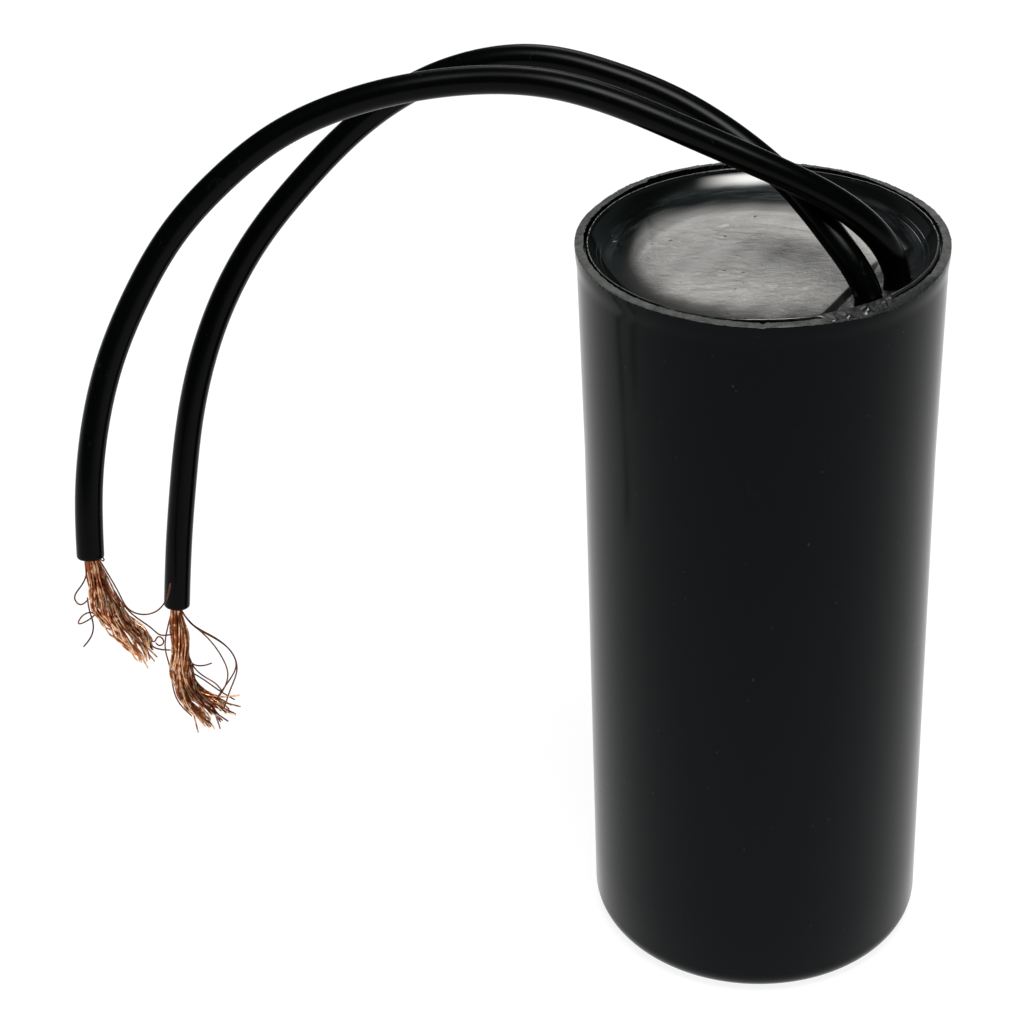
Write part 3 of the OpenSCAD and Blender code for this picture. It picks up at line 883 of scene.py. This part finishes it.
def set_resin_finish():
    """Glossy black resin: fine wrinkles and a pale haze on the sunken middle, the haze partly bloom and
    partly painted reflection, a grey-green painted reflection on the back slope, dull beside the leads.
    """
    cast = Finish("set_resin")
    place = cast.place()
    flat_place = cast.node("ShaderNodeVectorMath", {"operation": "MULTIPLY"}, {0: place, 1: (1.0, 1.0, 0.0)})
    reach = cast.node("ShaderNodeVectorMath", {"operation": "LENGTH"}, {0: flat_place}, out=1)
    bearing = cast.node("ShaderNodeVectorMath", {"operation": "NORMALIZE"}, {0: flat_place})
    ring_place = cast.node("ShaderNodeCombineXYZ", {}, {
        0: 1500.0 * reach,
        1: 1.6 * cast.node("ShaderNodeSeparateXYZ", {}, {0: bearing}, out=0),
        2: 1.6 * cast.node("ShaderNodeSeparateXYZ", {}, {0: bearing}, out=1),
    })
    along = cast.node("ShaderNodeSeparateXYZ", {}, {0: place}, out=1)
    inward = cast.node(
        "ShaderNodeVectorMath", {"operation": "DOT_PRODUCT"}, {0: place, 1: (*well_inward, 0.0)}, out=1
    )
    near_leads = cast.band(along, -0.003, 0.001, 1.0, 0.0)
    matte = cast.band(inward, 0.0085, 0.0089) * near_leads
    clean = 1.0 - 0.8 * cast.band(inward, 0.0078, 0.0082) * near_leads
    sunken = cast.band(reach, 0.0092, 0.0126, 1.0, 0.0)
    wrinkle = cast.node("ShaderNodeTexNoise", {}, {
        "Vector": cast.stretched((0.7, 1.1, 1.0)),
        "Scale": 1100.0,
        "Detail": 6.0,
        "Roughness": 0.7,
        "Distortion": 0.8,
    })
    flow = cast.band(cast.grain(ring_place, 1.0, 6.0, 0.7), 0.42, 0.72)
    # Painted reflection: a grey-green colour on the back of the slope stands in for the soft tail of the top
    # lamp's reflection.
    painted_reflection_tail = flow * cast.band(reach, 0.0115, 0.0124) * cast.band(reach, 0.0134, 0.0140, 1.0, 0.0)
    painted_reflection_tail = painted_reflection_tail * cast.band(along, -0.001, 0.003)
    flow = flow * cast.band(along, 0.0, 0.004) * cast.band(reach, 0.0062, 0.0085)
    flow = flow * cast.band(reach, 0.0104, 0.0118, 1.0, 0.0)
    cloud = cast.grain(place, 170.0, 3.0)
    rough_and_painted_patch = 0.0
    for spot, size in dish_patches:
        spot_gap = cast.node(
            "ShaderNodeVectorMath", {"operation": "DISTANCE"}, {0: flat_place, 1: spot}, out=1
        )
        rough_and_painted_patch = cast.band(spot_gap, 0.2 * size, size, 1.0, 0.0) + rough_and_painted_patch
    pit = cast.band(cast.grain(place, 900.0, 1.0), 0.755, 0.785)
    crease = cast.band(wrinkle, 0.50, 0.72)
    # Painted reflection with real bloom: the pale haze brightens the dish in patches, partly as the resin's
    # bloom and partly standing in for the lamp light that its rough patches scatter.
    bloom_and_painted_sheen = 0.08 + 0.2 * cloud + 0.15 * flow + 0.1 * crease + (0.2 + 0.7 * crease) * rough_and_painted_patch
    colour = cast.blend(clean * sunken * bloom_and_painted_sheen, (0.0022, 0.0027, 0.0028, 1), (0.20, 0.19, 0.172, 1))
    colour = cast.blend(painted_reflection_tail, colour, (0.040, 0.046, 0.047, 1))
    grit = cast.grain(place, 3200.0, 5.0, 0.7)
    calm = cast.band(reach, 0.0125, 0.0140, 1.0, 0.15)
    blotch = cast.band(cast.grain(place, 1000.0, 4.0, 0.7), 0.44, 0.60)
    colour = cast.blend(matte * (0.1 + 0.5 * grit + 0.5 * blotch), colour, (0.012, 0.0115, 0.013, 1))
    wrinkled = (wrinkle - 0.5) * (0.3 + 0.45 * rough_and_painted_patch)
    dull_relief = matte * calm * (0.2 * grit + 0.45 * blotch)
    relief = dull_relief + sunken * (wrinkled + 0.15 * flow + 0.4 * cloud - 1.2 * pit)
    return cast.surface(
        Base_Color=colour,
        Roughness=0.085 + 0.035 * sunken + 0.04 * cloud + 0.2 * matte,
        IOR=1.6,
        Normal=cast.bump(relief, 0.04),
    )


all_points = np.concatenate([resin_points, hollow_points])
resin = make_piece("resin", all_points, resin_faces + hollow_faces, [set_resin_finish()], 50.0)
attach(resin, "root")
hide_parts("potting_resin")


# The studio: a wide pale floor under one lamp above and in front and one large lamp behind, both soft.
# The floor shows white to the camera and in the glossy black pieces, and keeps the shadow.
floor_reach = 30.0
floor_drop = 0.00005
lamp_target = np.array([-3.0, 0.0, 68.0]) * mm
lamp_colour = (1.0, 0.99, 0.965)
floor_mesh = bpy.data.meshes.new("floor")
floor_corners = [
    (x * floor_reach, y * floor_reach, -floor_drop) for x, y in [(-1, -1), (1, -1), (1, 1), (-1, 1)]
]
floor_mesh.from_pydata(floor_corners, [], [(0, 1, 2, 3)])
floor = bpy.data.objects.new("floor", floor_mesh)
bpy.context.collection.objects.link(floor)
pale = Finish("pale_floor")
seen = pale.node("ShaderNodeLightPath", out=0)
mirrored = pale.node("ShaderNodeLightPath", out=3)
through = pale.node("ShaderNodeLightPath", out=6)
shown = seen.reckon("MAXIMUM", seen + mirrored, through)
paint = pale.node("ShaderNodeBsdfDiffuse", {}, {"Color": (0.18, 0.18, 0.18, 1)})
glow = pale.node("ShaderNodeEmission", {}, {"Color": (1, 1, 1, 1), "Strength": 0.89 * shown})
both = pale.node("ShaderNodeAddShader", {}, {0: paint, 1: glow})
pale.node("ShaderNodeOutputMaterial", {}, {"Surface": both})
floor_mesh.materials.append(pale.owner)


def soft_lamp(name, direction, distance, wide, tall, brightness, left, right, low, high, lean=0.0):
    """A flat soft lamp that faces the can's top, so bright per square metre, fading over each of its edges.

    Each edge is where the light starts to fade and where it ends, in metres right of or above the middle.
    lean is how far the right edge moves to the right for each metre up.
    """
    lamp = bpy.data.lights.new(name, "AREA")
    lamp.shape = "RECTANGLE"
    lamp.size = wide
    lamp.size_y = tall
    lamp.color = lamp_colour
    lamp.energy = brightness * math.pi * wide * tall
    cloth = Finish(name, lamp)
    spot = cloth.node("ShaderNodeNewGeometry", out=5)
    aside = wide * (0.5 - cloth.node("ShaderNodeSeparateXYZ", {}, {0: spot}, out=0))
    above = tall * (cloth.node("ShaderNodeSeparateXYZ", {}, {0: spot}, out=1) - 0.5)
    strength = cloth.band(aside, left[1], left[0])
    strength = strength * cloth.band(aside - lean * above, right[0], right[1], 1.0, 0.0)
    strength = strength * cloth.band(above, low[1], low[0]) * cloth.band(above, high[0], high[1], 1.0, 0.0)
    glow = cloth.node("ShaderNodeEmission", {}, {"Strength": strength})
    cloth.node("ShaderNodeOutputLight", {}, {"Surface": glow})
    stand = bpy.data.objects.new(name, lamp)
    bpy.context.collection.objects.link(stand)
    aim = unit(np.array(direction, float))
    across = unit(np.cross((0.0, 0.0, 1.0), aim))
    over = np.cross(aim, across)
    turn = Matrix(np.column_stack([across, over, aim]).tolist()).to_4x4()
    stand.matrix_world = Matrix.Translation((lamp_target + aim * distance).tolist()) @ turn
    stand.visible_camera = False


soft_lamp(
    "top_lamp", (0.06, -0.40, 0.915), distance=0.6, wide=0.72, tall=0.54, brightness=18.0,
    left=(0.0, -0.29), right=(0.05, 0.3), low=(-0.04, -0.13), high=(0.03, 0.26),
)
soft_lamp(
    "back_lamp", (0.129, 0.732, 0.669), distance=0.7, wide=0.64, tall=0.52, brightness=5.2,
    left=(-0.05, -0.3), right=(0.04, 0.2), low=(-0.17, -0.235), high=(-0.26, 0.26), lean=0.76,
)

surround = bpy.data.worlds.new("surround")
bpy.context.scene.world = surround
air = Finish("surround", surround)
direction = air.node("ShaderNodeTexCoord", out=0)
rise = air.node("ShaderNodeSeparateXYZ", {}, {0: direction}, out=2)
sky = air.band(rise, 0.75, 0.97, 0.03, 0.2) + air.band(rise, 0.35, 0.6, 0.06, 0.0)
backing = air.node("ShaderNodeBackground", {}, {"Color": (0.86, 1.0, 1.0, 1), "Strength": sky})
air.node("ShaderNodeOutputWorld", {}, {"Surface": backing})
